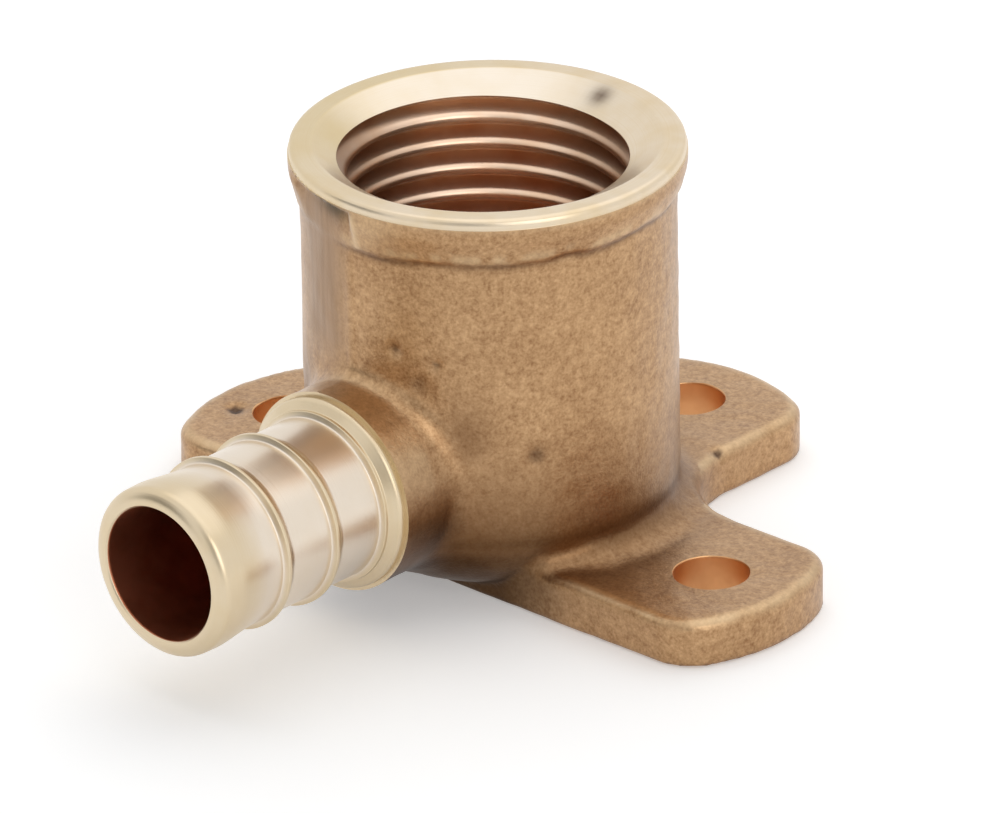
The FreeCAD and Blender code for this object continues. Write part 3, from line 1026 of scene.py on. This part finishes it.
@dataclass
class Casting:
    """The whole elbow: the casting of hub, ears and neck, roughened, and then machined."""

    hub: Hub = field(default_factory=Hub)
    ears: Ears = field(default_factory=Ears)
    barb: Barb = field(default_factory=Barb)
    pits: tuple[Pit, ...] = ()
    voxel: float = 0.3
    crease: float = 0.3
    swell: float = 0.05
    wave: float = 0.09
    wave_size: float = 4.5
    mottle: float = 0.07
    mottle_size: float = 1.1
    mottle_shift: float = 50.0
    calm_rim: float = 0.7
    calm_shoulder: float = 0.2
    calm_length: float = 1.5
    calm_share: float = 0.2
    seam_height: float = 0.1
    seam_width: float = 0.28
    seam_low: float = 4.5
    seam_over: float = 0.2
    seam_size: float = 2.5
    seam_patches: Patches = Patches(0.55, 0.6)
    sharp_angle: float = math.radians(38.0)
    shape: Grain = field(default_factory=lambda: Grain(7))
    skin: Grain = field(default_factory=lambda: Grain(23))

    def distance(self, points: np.ndarray) -> np.ndarray:
        """How far points lie outside the casting before it is machined.

        Args:
            points: Rows of x, y, z in mm.

        Returns:
            A distance in mm for each point, negative inside.
        """
        barrel = fillet_union(self.hub.distance(points, self.shape), self.barb.distance(points),
                              self.barb.neck_fillet)
        whole = fillet_union(barrel, self.ears.distance(points), self.crease)
        return np.maximum(whole, points[:, 2] - self.hub.height - self.hub.stock)

    def slope(self, points: np.ndarray, step: float = 0.02) -> np.ndarray:
        """Direction straight out of the metal, from differences of the distance along each axis.

        Args:
            points: Rows of x, y, z in mm.
            step: How far to each side the differences are taken, in mm.

        Returns:
            A vector of length 1 for each point.
        """
        rise = np.stack([self.distance(points + move) - self.distance(points - move)
                         for move in np.eye(3) * step], axis=1)
        return rise / np.maximum(np.linalg.norm(rise, axis=1, keepdims=True), 1e-9)

    def raw_surface(self) -> Surface:
        """Meshes the casting from its distance on a grid, and moves each point onto its surface.

        Returns:
            The plain surface, all of it cast.
        """
        margin = 3 * self.voxel
        low = np.array([-self.ears.reach, -self.barb.stock_reach, 0.0]) - margin
        high = np.array([self.ears.reach, self.ears.reach + self.ears.offset,
                         self.hub.height + self.hub.stock]) + margin
        axes = [np.arange(a, b, self.voxel) for a, b in zip(low, high)]
        cells = np.empty([len(axis) for axis in axes], np.float32)
        for layer, height in enumerate(axes[2]):
            x, y = np.meshgrid(axes[0], axes[1], indexing="ij")
            level = np.column_stack([x.ravel(), y.ravel(), np.full(x.size, height)])
            cells[:, :, layer] = self.distance(level).reshape(x.shape)
        grid = openvdb.FloatGrid(background=margin)
        grid.copyFromArray(np.clip(cells, -margin, margin))
        points, quads = grid.convertToQuads(isovalue=0.0)
        points = points * self.voxel + low
        for _ in range(2):
            points -= self.distance(points)[:, None] * self.slope(points)
        return Surface(points, quads, np.full(len(quads), Finish.CAST))

    def roughen(self, raw: Surface) -> Surface:
        """Gives the casting its sand-cast skin: it moves each point along the slope.

        The move is inwards by two sizes of grain and by the pits, and outwards along the parting seam in
        the plane of the two axes. The ears stay inside the box of the plain solid.

        Args:
            raw: The plain surface of the casting.

        Returns:
            The rough surface.
        """
        points = raw.points
        slope = self.slope(points)
        sunk = self.wave * (0.5 + 0.5 * self.skin.at(points, self.wave_size))
        sunk += self.mottle * (0.5 + 0.5 * self.skin.at(points + self.mottle_shift, self.mottle_size))
        for room in (self.hub.height - self.calm_rim - points[:, 2],
                     points[:, 1] + self.barb.shoulder_back + self.calm_shoulder):
            sunk *= np.clip(room / self.calm_length, self.calm_share, 1)
        sunk -= self.swell
        for pit in self.pits:
            sunk += pit.at(points)
        seam = np.where(points[:, 1] < 0, self.hub.seam_place, 0.0)
        ridge = np.exp(-((points[:, 0] - seam) / self.seam_width) ** 2)
        ridge *= (points[:, 2] > self.seam_low) & (points[:, 2] < self.hub.band_low + self.seam_over)
        ridge *= self.seam_patches.at(self.skin.at(points, self.seam_size))
        moved = points + slope * (self.seam_height * ridge - sunk)[:, None]
        low, high = np.array(CAD_BOX) / MM
        kept = np.clip(moved, [low[0], -np.inf, low[2]], [high[0], high[1], np.inf])
        return Surface(kept, raw.faces, raw.finish)

    def tools(self) -> list[tuple[str, Surface]]:
        """The machining, in order.

        Returns:
            The name and the surface of each tool.
        """
        holes = [("screw_drill", self.ears.drill(centre)) for centre in self.ears.hole_centres()]
        return [("mouth_tool", self.hub.mouth_tool()),
                ("tap", self.hub.thread_tool()), ("turning_tool", self.barb.turning_tool()),
                ("waterway_drill", self.barb.bore_tool()), *holes]

    def machine(self, piece: bpy.types.Object, materials: Sequence[bpy.types.Material]) -> None:
        """Cuts away what each tool sweeps, and keeps the tool's finish on the cut faces.

        Args:
            piece: The casting's object, whose mesh is replaced.
            materials: The finishes, in the order of Finish.
        """
        cutters = []
        for name, surface in self.tools():
            cutter = bpy.data.objects.new(name, facing_out(surface.mesh(name, materials)))
            bpy.context.scene.collection.objects.link(cutter)
            cut = piece.modifiers.new(name, "BOOLEAN")
            cut.operation = "DIFFERENCE"
            cut.solver = "MANIFOLD"
            cut.object = cutter
            cutters.append(cutter)
        graph = bpy.context.evaluated_depsgraph_get()
        finished = bpy.data.meshes.new_from_object(piece.evaluated_get(graph))
        piece.modifiers.clear()
        raw = piece.data
        piece.data = finished
        bpy.data.meshes.remove(raw)
        for cutter in cutters:
            bpy.data.meshes.remove(cutter.data)

    def build(self, materials: Sequence[bpy.types.Material]) -> bpy.types.Object:
        """Builds the finished elbow.

        Args:
            materials: The finishes, in the order of Finish.

        Returns:
            The elbow's object, riding on its body in place of the plain solid.
        """
        rough = self.roughen(self.raw_surface())
        log.info("casting: %d points", len(rough.points))
        piece = bpy.data.objects.new("elbow", facing_out(rough.mesh("elbow", materials)))
        bpy.context.scene.collection.objects.link(piece)
        self.machine(piece, materials)
        piece.data.name = "elbow"
        self.dress(piece.data)
        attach(piece, BODY)
        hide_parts(NODE)
        log.info("elbow: %d points, %d faces", len(piece.data.vertices), len(piece.data.polygons))
        return piece

    def dress(self, mesh: bpy.types.Mesh) -> None:
        """Shades the mesh smooth with sharp edges between finishes, and marks its worn and dirty places and
        its painted shade, highlights and reflections.

        Args:
            mesh: The mesh, which is changed.
        """
        mesh.polygons.foreach_set("use_smooth", np.ones(len(mesh.polygons), bool))
        mesh.set_sharp_from_angle(angle=self.sharp_angle)
        self.soften(mesh)
        points = np.empty(len(mesh.vertices) * 3)
        mesh.vertices.foreach_get("co", points)
        wear = Wear(self.hub, self.ears, self.barb, self.pits, self.shape, self.skin)
        for name, values in wear.marks(points.reshape(-1, 3) / MM).items():
            mesh.attributes.new(name, "FLOAT", "POINT").data.foreach_set("value", values.astype(np.float32))

    def soften(self, mesh: bpy.types.Mesh) -> None:
        """Takes the sharp mark off edges that only cast faces meet, as a cast skin has no keen edges.

        Args:
            mesh: The mesh, which is changed.
        """
        finish = np.empty(len(mesh.polygons), np.int32)
        corners = np.empty(len(mesh.polygons), np.int32)
        edges = np.empty(len(mesh.loops), np.int32)
        mesh.polygons.foreach_get("material_index", finish)
        mesh.polygons.foreach_get("loop_total", corners)
        mesh.loops.foreach_get("edge_index", edges)
        machined = np.zeros(len(mesh.edges), bool)
        machined[edges[np.repeat(finish, corners) != Finish.CAST]] = True
        sharp = np.empty(len(mesh.edges), bool)
        mesh.edges.foreach_get("use_edge_sharp", sharp)
        mesh.edges.foreach_set("use_edge_sharp", sharp & machined)


def facing_out(mesh: bpy.types.Mesh) -> bpy.types.Mesh:
    """Turns a closed mesh's faces outwards where its volume comes out negative.

    Args:
        mesh: The mesh, which is changed.

    Returns:
        The same mesh.
    """
    mesh.calc_loop_triangles()
    points = np.empty(len(mesh.vertices) * 3)
    mesh.vertices.foreach_get("co", points)
    corners = np.empty(len(mesh.loop_triangles) * 3, np.int32)
    mesh.loop_triangles.foreach_get("vertices", corners)
    a, b, c = points.reshape(-1, 3)[corners.reshape(-1, 3)].transpose(1, 0, 2)
    if np.sum(a * np.cross(b, c)) < 0:
        mesh.flip_normals()
    return mesh


@dataclass(frozen=True)
class Stain:
    """A colour laid over a finish where the mesh's attribute of that name is high."""

    attribute: str
    colour: str
    share: float

    def over(self, tree: bpy.types.NodeTree, colour: bpy.types.NodeSocket) -> bpy.types.NodeSocket:
        """Mixes the stain over a colour.

        Args:
            tree: The node tree.
            colour: The colour under the stain.

        Returns:
            The mixed colour.
        """
        mask = add_node(tree, "ShaderNodeAttribute", attribute_name=self.attribute)
        share = add_node(tree, "ShaderNodeMath", {0: mask.outputs["Fac"], 1: self.share},
                         operation="MULTIPLY")
        mix = add_node(tree, "ShaderNodeMix", {
            "Factor": share.outputs[0], 6: colour, 7: linear(self.colour)}, data_type="RGBA")
        return mix.outputs[2]


@dataclass(frozen=True)
class Brass:
    """A finish of the brass: bare metal, with its name, its roughness and the stains on it."""

    name: str
    roughness: float
    stains: tuple[Stain, ...]

    def pattern(self, tree: bpy.types.NodeTree, shader: bpy.types.Node) -> bpy.types.NodeSocket:
        """Adds the finish's own pattern to a material, and gives its colour before any stains."""
        raise NotImplementedError

    def material(self) -> bpy.types.Material:
        """Builds the material: the finish's own pattern, with the stains laid over it.

        Returns:
            The new material.
        """
        material = bpy.data.materials.new(self.name)
        material.use_nodes = True
        tree = material.node_tree
        shader = tree.nodes["Principled BSDF"]
        colour = self.pattern(tree, shader)
        for stain in self.stains:
            colour = stain.over(tree, colour)
        tree.links.new(colour, shader.inputs["Base Color"])
        shader.inputs["Metallic"].default_value = 1.0
        shader.inputs["Roughness"].default_value = self.roughness
        return material


@dataclass(frozen=True)
class CastSkin(Brass):
    """Sand-cast brass, as it left the mould and was tumbled: a dull tan skin, mottled by the sand's grains.

    The skin is bare metal, so it mirrors its surroundings, but broadly, and paler at a flat angle.
    """

    name: str = "sand_cast_brass"
    roughness: float = 0.38
    stains: tuple[Stain, ...] = (
        # Painted shade low down, at the foot and beside the neck.
        Stain("low_shade", "#6E4826", 0.85),
        # Deeper painted shade under the front, round the foot and in the neck's corners.
        Stain("deep_shade", "#3E230D", 0.82),
        # Rubbed edges, with painted highlights on the band's end, the ears' top edges and the neck's top.
        Stain("bright", "#DCC19A", 0.7),
        # Painted shade in the step under the band.
        Stain("crease", "#5E3D22", 0.8),
        # Painted shadow under the rim.
        Stain("shade", "#3E3016", 0.92),
        Stain("hollow", "#3C2110", 0.9),
    )
    light: str = "#CFA87D"
    main: str = "#B48E65"
    dark: str = "#8E6641"
    streak_light: str = "#B09072"
    streak_dark: str = "#866849"
    # Size in mm and roughness of the noise for the grain, the mottle and the clouds.
    noises: tuple[tuple[float, float], ...] = ((0.2, 0.6), (0.55, 0.6), (5.0, 0.5))
    noise_detail: float = 2.0
    noise_range: tuple[float, float] = (0.75, 1.65)
    cloud_share: float = 0.4
    streak_mm: float = 0.5
    streak_stretch: float = 0.1
    bump: float = 0.4
    bump_mm: float = 0.06
    coat: float = 0.35
    coat_roughness: float = 0.4

    def pattern(self, tree: bpy.types.NodeTree, shader: bpy.types.Node) -> bpy.types.NodeSocket:
        """Adds three sizes of noise for the colour, streaks where it is ground, and the grain as a bump.

        The thin coat of oxide, which mirrors too, fades where the deeper painted shade is.

        Args:
            tree: The node tree.
            shader: The material's shader.

        Returns:
            The colour before any stains.
        """
        place = add_node(tree, "ShaderNodeTexCoord").outputs["Object"]
        grain, mottle, cloud = (
            add_node(tree, "ShaderNodeTexNoise", {
                "Vector": place, "Scale": 1 / (size * MM), "Detail": self.noise_detail, "Roughness": rough,
            }).outputs["Fac"] for size, rough in self.noises)
        both = add_node(tree, "ShaderNodeMath", {0: grain, 1: mottle}, operation="ADD")
        total = add_node(tree, "ShaderNodeMath", {0: cloud, 1: self.cloud_share, 2: both.outputs[0]},
                         operation="MULTIPLY_ADD")
        low, high = self.noise_range
        ramp = add_node(tree, "ShaderNodeMapRange", {
            "Value": total.outputs[0], "From Min": low, "From Max": high})
        colours = add_node(tree, "ShaderNodeValToRGB", {"Fac": ramp.outputs[0]})
        stops = colours.color_ramp.elements
        stops[0].color = linear(self.dark)
        stops[1].color = linear(self.light)
        stops.new(0.5).color = linear(self.main)
        drawn = add_node(tree, "ShaderNodeVectorMath", {0: place, 1: (1.0, 1.0, self.streak_stretch)},
                         operation="MULTIPLY")
        streak = add_node(tree, "ShaderNodeTexNoise", {
            "Vector": drawn.outputs[0], "Scale": 1 / (self.streak_mm * MM), "Detail": self.noise_detail})
        streaks = add_node(tree, "ShaderNodeMix", {
            "Factor": streak.outputs["Fac"], 6: linear(self.streak_dark), 7: linear(self.streak_light)},
            data_type="RGBA")
        bump = add_node(tree, "ShaderNodeBump", {
            "Height": grain, "Strength": self.bump, "Distance": self.bump_mm * MM})
        tree.links.new(bump.outputs["Normal"], shader.inputs["Normal"])
        deep_shade = add_node(tree, "ShaderNodeAttribute", attribute_name="deep_shade")
        coat = add_node(tree, "ShaderNodeMapRange", {
            "Value": deep_shade.outputs["Fac"], "To Min": self.coat, "To Max": 0.0})
        tree.links.new(coat.outputs[0], shader.inputs["Coat Weight"])
        shader.inputs["Coat Roughness"].default_value = self.coat_roughness
        ground = add_node(tree, "ShaderNodeAttribute", attribute_name="ground")
        skin = add_node(tree, "ShaderNodeMix", {
            "Factor": ground.outputs["Fac"], 6: colours.outputs["Color"], 7: streaks.outputs[2]},
            data_type="RGBA")
        return skin.outputs[2]


@dataclass(frozen=True)
class MachinedBrass(Brass):
    """Brass cut by a tool: bright, with fine rings that the tool left round the axis of the cut."""

    clean: str
    tarnish: str
    cloud_mm: float = 2.5
    cloud_detail: float = 3.0
    cloud_range: tuple[float, float] = (0.4, 0.75)
    cloud_share: float = 0.7
    ring_mm: float = 0.12
    ring_depth_mm: float = 0.02
    ring_range: tuple[float, float] = (0.35, 0.75)
    ring_share: float = 0.3
    ring_bump: float = 0.0

    def pattern(self, tree: bpy.types.NodeTree, shader: bpy.types.Node) -> bpy.types.NodeSocket:
        """Adds faint clouds of tarnish and, if they have a bump, the tool's rings.

        Args:
            tree: The node tree.
            shader: The material's shader.

        Returns:
            The colour before any stains.
        """
        place = add_node(tree, "ShaderNodeTexCoord").outputs["Object"]
        cloud = add_node(tree, "ShaderNodeTexNoise", {
            "Vector": place, "Scale": 1 / (self.cloud_mm * MM), "Detail": self.cloud_detail})
        low, high = self.cloud_range
        share = add_node(tree, "ShaderNodeMapRange", {
            "Value": cloud.outputs["Fac"], "From Min": low, "From Max": high, "To Max": self.cloud_share})
        clouded = add_node(tree, "ShaderNodeMix", {
            "Factor": share.outputs[0], 6: linear(self.clean), 7: linear(self.tarnish)}, data_type="RGBA")
        if not self.ring_bump:
            return clouded.outputs[2]
        path = add_node(tree, "ShaderNodeAttribute", attribute_name="lathe")
        rings = add_node(tree, "ShaderNodeTexNoise", {
            "W": path.outputs["Fac"], "Scale": 1 / self.ring_mm, "Detail": 1.0}, noise_dimensions="1D")
        bump = add_node(tree, "ShaderNodeBump", {
            "Height": rings.outputs["Fac"], "Strength": self.ring_bump,
            "Distance": self.ring_depth_mm * MM})
        tree.links.new(bump.outputs["Normal"], shader.inputs["Normal"])
        low, high = self.ring_range
        lines = add_node(tree, "ShaderNodeMapRange", {
            "Value": rings.outputs["Fac"], "From Min": low, "From Max": high, "To Max": self.ring_share})
        lined = add_node(tree, "ShaderNodeMix", {
            "Factor": lines.outputs[0], 6: clouded.outputs[2], 7: linear(self.tarnish)}, data_type="RGBA")
        return lined.outputs[2]


@dataclass(frozen=True)
class Gap:
    """A darker part of the tent: its direction, the cosines of its edge and its core, and its strength."""

    direction: tuple[float, float, float]
    start: float
    full: float
    strength: float

@dataclass(frozen=True)
class Lamp:
    """A square soft light: its place and side in metres, its power in watts, and whether metal mirrors it.

    Where it hangs behind the tent's cloth, only the cloth is mirrored.
    """

    name: str
    place: tuple[float, float, float]
    size: float
    power: float
    mirrored: bool
@dataclass
class Studio:
    """The white floor, the soft lights and the camera."""

    azimuth: float = math.radians(42.91)
    elevation: float = math.radians(25.87)
    roll: float = math.radians(1.05)
    distance: float = 900.0
    pixels_per_mm: float = 15.15
    origin_pixel: tuple[float, float] = (494.78, 537.91)
    gaps: tuple[Gap, ...] = (
        Gap((0.66, -0.73, 0.18), 0.75, 0.97, 0.5),
        Gap((-0.58, -0.81, 0.1), 0.92, 0.98, 0.25),
    )
    tent_light: float = 0.4
    floor_size: float = 4.0
    floor_gap: float = 0.02
    floor_colour: str = "#F2F2F2"
    floor_roughness: float = 0.9
    floor_lift: float = 0.3
    clip: tuple[float, float] = (0.05, 20.0)
    lamp_aim: tuple[float, float, float] = (0.0, 0.0, 0.012)
    lamps: tuple[Lamp, ...] = (
        Lamp("back_light", (-0.3, 0.35, 0.72), 1.2, 4.6, mirrored=False),
        Lamp("top_light", (0.05, 0.25, 0.9), 1.2, 1.5, mirrored=True),
        Lamp("side_light", (0.75, -0.3, 0.35), 0.6, 1.4, mirrored=True),
    )

    def camera(self) -> None:
        """Sets the camera where the photograph's was.

        It stands at its distance from the origin, and is aimed so that the origin falls on its own pixel:
        the aim is moved from the origin by that pixel's offset from the picture's middle, and the view is
        then turned by the roll.
        """
        a, e = self.azimuth, self.elevation
        back = Vector((math.sin(a) * math.cos(e), -math.cos(a) * math.cos(e), math.sin(e)))
        across = (self.origin_pixel[0] - PICTURE[0] / 2) / self.pixels_per_mm
        down = (self.origin_pixel[1] - PICTURE[1] / 2) / self.pixels_per_mm
        right = Vector((math.cos(a), math.sin(a), 0))
        up = back.cross(right)
        turned_right = right * math.cos(self.roll) - up * math.sin(self.roll)
        turned_up = right * math.sin(self.roll) + up * math.cos(self.roll)
        aim = turned_up * down - turned_right * across
        place = back * self.distance
        view = (aim - place).normalized()
        data = bpy.data.cameras.new("camera")
        data.sensor_width = SENSOR
        data.lens = self.pixels_per_mm * self.distance / PICTURE[0] * SENSOR
        data.clip_start, data.clip_end = self.clip
        camera = bpy.data.objects.new("camera", data)
        side = view.cross(turned_up).normalized()
        level = side.cross(view)
        turn = Matrix((side, level, -view)).transposed()
        camera.matrix_world = Matrix.Translation(place * MM) @ turn.to_4x4()
        bpy.context.scene.collection.objects.link(camera)
        bpy.context.scene.camera = camera

    def seen_white(self, tree: bpy.types.NodeTree) -> bpy.types.NodeSocket:
        """1 for a ray from the camera, a mirror or through glass, and 0 for one that lights a surface.

        Args:
            tree: The node tree.

        Returns:
            The socket of that value.
        """
        path = add_node(tree, "ShaderNodeLightPath")
        both = add_node(tree, "ShaderNodeMath", {
            0: path.outputs["Is Camera Ray"], 1: path.outputs["Is Glossy Ray"]}, operation="MAXIMUM")
        every = add_node(tree, "ShaderNodeMath", {
            0: both.outputs[0], 1: path.outputs["Is Transmission Ray"]}, operation="MAXIMUM")
        return every.outputs[0]

    def world(self) -> None:
        """Surrounds the part with a white tent that has darker gaps, as for the camera.

        Where the tent is seen it has full strength, and where it lights a surface it has less.
        """
        world = bpy.data.worlds.new("white_tent")
        world.use_nodes = True
        tree = world.node_tree
        background = tree.nodes["Background"]
        way = add_node(tree, "ShaderNodeTexCoord").outputs["Generated"]
        seen = add_node(tree, "ShaderNodeMapRange", {
            "Value": self.seen_white(tree), "To Min": self.tent_light, "To Max": 1.0})
        strength = seen.outputs[0]
        for gap in self.gaps:
            towards = add_node(tree, "ShaderNodeVectorMath", {0: way, 1: gap.direction},
                               operation="DOT_PRODUCT")
            level = add_node(tree, "ShaderNodeMapRange", {
                "Value": towards.outputs["Value"], "From Min": gap.start, "From Max": gap.full,
                "To Min": 1.0, "To Max": gap.strength}, interpolation_type="SMOOTHSTEP")
            dimmed = add_node(tree, "ShaderNodeMath", {0: strength, 1: level.outputs[0]},
                              operation="MULTIPLY")
            strength = dimmed.outputs[0]
        tree.links.new(strength, background.inputs["Strength"])
        background.inputs["Color"].default_value = (1.0, 1.0, 1.0, 1.0)
        bpy.context.scene.world = world

    def floor(self) -> None:
        """Lays a white floor under the part that still takes its shadow."""
        half = self.floor_size / 2
        mesh = bpy.data.meshes.new("floor")
        corners = np.array([[-half, -half, 0], [half, -half, 0], [half, half, 0], [-half, half, 0]])
        mesh.from_pydata(corners - [0, 0, self.floor_gap * MM], [], [[0, 1, 2, 3]])
        material = bpy.data.materials.new("matt_white_paper")
        material.use_nodes = True
        tree = material.node_tree
        shader = tree.nodes["Principled BSDF"]
        shader.inputs["Base Color"].default_value = linear(self.floor_colour)
        shader.inputs["Roughness"].default_value = self.floor_roughness
        shader.inputs["Specular IOR Level"].default_value = 0.0
        lift = add_node(tree, "ShaderNodeMath", {0: self.seen_white(tree), 1: self.floor_lift},
                        operation="MULTIPLY")
        shader.inputs["Emission Color"].default_value = (1.0, 1.0, 1.0, 1.0)
        tree.links.new(lift.outputs[0], shader.inputs["Emission Strength"])
        mesh.materials.append(material)
        floor = bpy.data.objects.new("floor", mesh)
        bpy.context.scene.collection.objects.link(floor)

    def softbox(self, lamp: Lamp) -> None:
        """Hangs one soft light, aimed at the part.

        Args:
            lamp: Its place, size and power.
        """
        data = bpy.data.lights.new(lamp.name, "AREA")
        data.size = lamp.size
        data.energy = lamp.power
        light = bpy.data.objects.new(lamp.name, data)
        light.location = lamp.place
        view = Vector(self.lamp_aim) - Vector(lamp.place)
        light.rotation_euler = view.to_track_quat("-Z", "Y").to_euler()
        light.visible_glossy = lamp.mirrored
        bpy.context.scene.collection.objects.link(light)

    def build(self) -> None:
        """Builds the whole studio."""
        self.camera()
        self.world()
        self.floor()
        for lamp in self.lamps:
            self.softbox(lamp)
        bpy.context.scene.view_settings.view_transform = "Standard"


# The pits and shallow dents that show in the photograph, on the hub, the neck's root and two ears.
PITS = (
    Pit(2.62, -12.07, 18.8, 0.42, 0.22),
    Pit(5.41, -11.1, 18.16, 0.34, 0.18),
    Pit(4.3, -11.75, 16.6, 0.8, 0.12, 0.35),
    Pit(10.26, -6.88, 11.6, 0.7, 0.18, 0.6),
    Pit(-21.95, -1.55, 3.2, 0.6, 0.35, 2.0),
    Pit(7.0, 14.4, 3.2, 0.45, 0.25, 2.0),
)


def main() -> None:
    """Builds the studio and the elbow."""
    logging.basicConfig(level=logging.INFO, format="%(name)s: %(message)s")
    Studio().build()
    log.info("studio: camera, floor and lights")
    finishes = {
        Finish.CAST: CastSkin(),
        Finish.TURNED: MachinedBrass("turned_brass", 0.3, (
            Stain("tarnish", "#D3BE8E", 0.6),
            # Whiter between the barb's ribs: a painted reflection.
            Stain("waist", "#EADFD2", 0.7),
            Stain("proud_tone", "#D8C6A6", 0.65),
            # A painted highlight on the chamfer's far side.
            Stain("chamfer_highlight", "#E4DDD4", 0.55),
            # A dark spot on the chamfer.
            Stain("dark_spot", "#5E4A3C", 0.85),
        ), "#E4D4BC", "#DAC298", ring_bump=0.25),
        Finish.THREADED: MachinedBrass("tapped_brass", 0.33, (
            # Painted shade towards the thread's two sides.
            Stain("thread_side_shade", "#64401F", 0.8),
            Stain("run_in", "#E4D6C2", 1.0),
        ), "#F4D6BC", "#E8BE9A"),
        Finish.BORED: MachinedBrass("bored_brass", 0.45, (), "#C07A5A", "#A05C3C"),
        Finish.DRILLED: MachinedBrass("drilled_brass", 0.4, (), "#E6B582", "#CC9260"),
    }
    materials = [finishes[kind].material() for kind in Finish]
    Casting(pits=PITS).build(materials)
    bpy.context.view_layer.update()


if __name__ == "__main__":
    main()
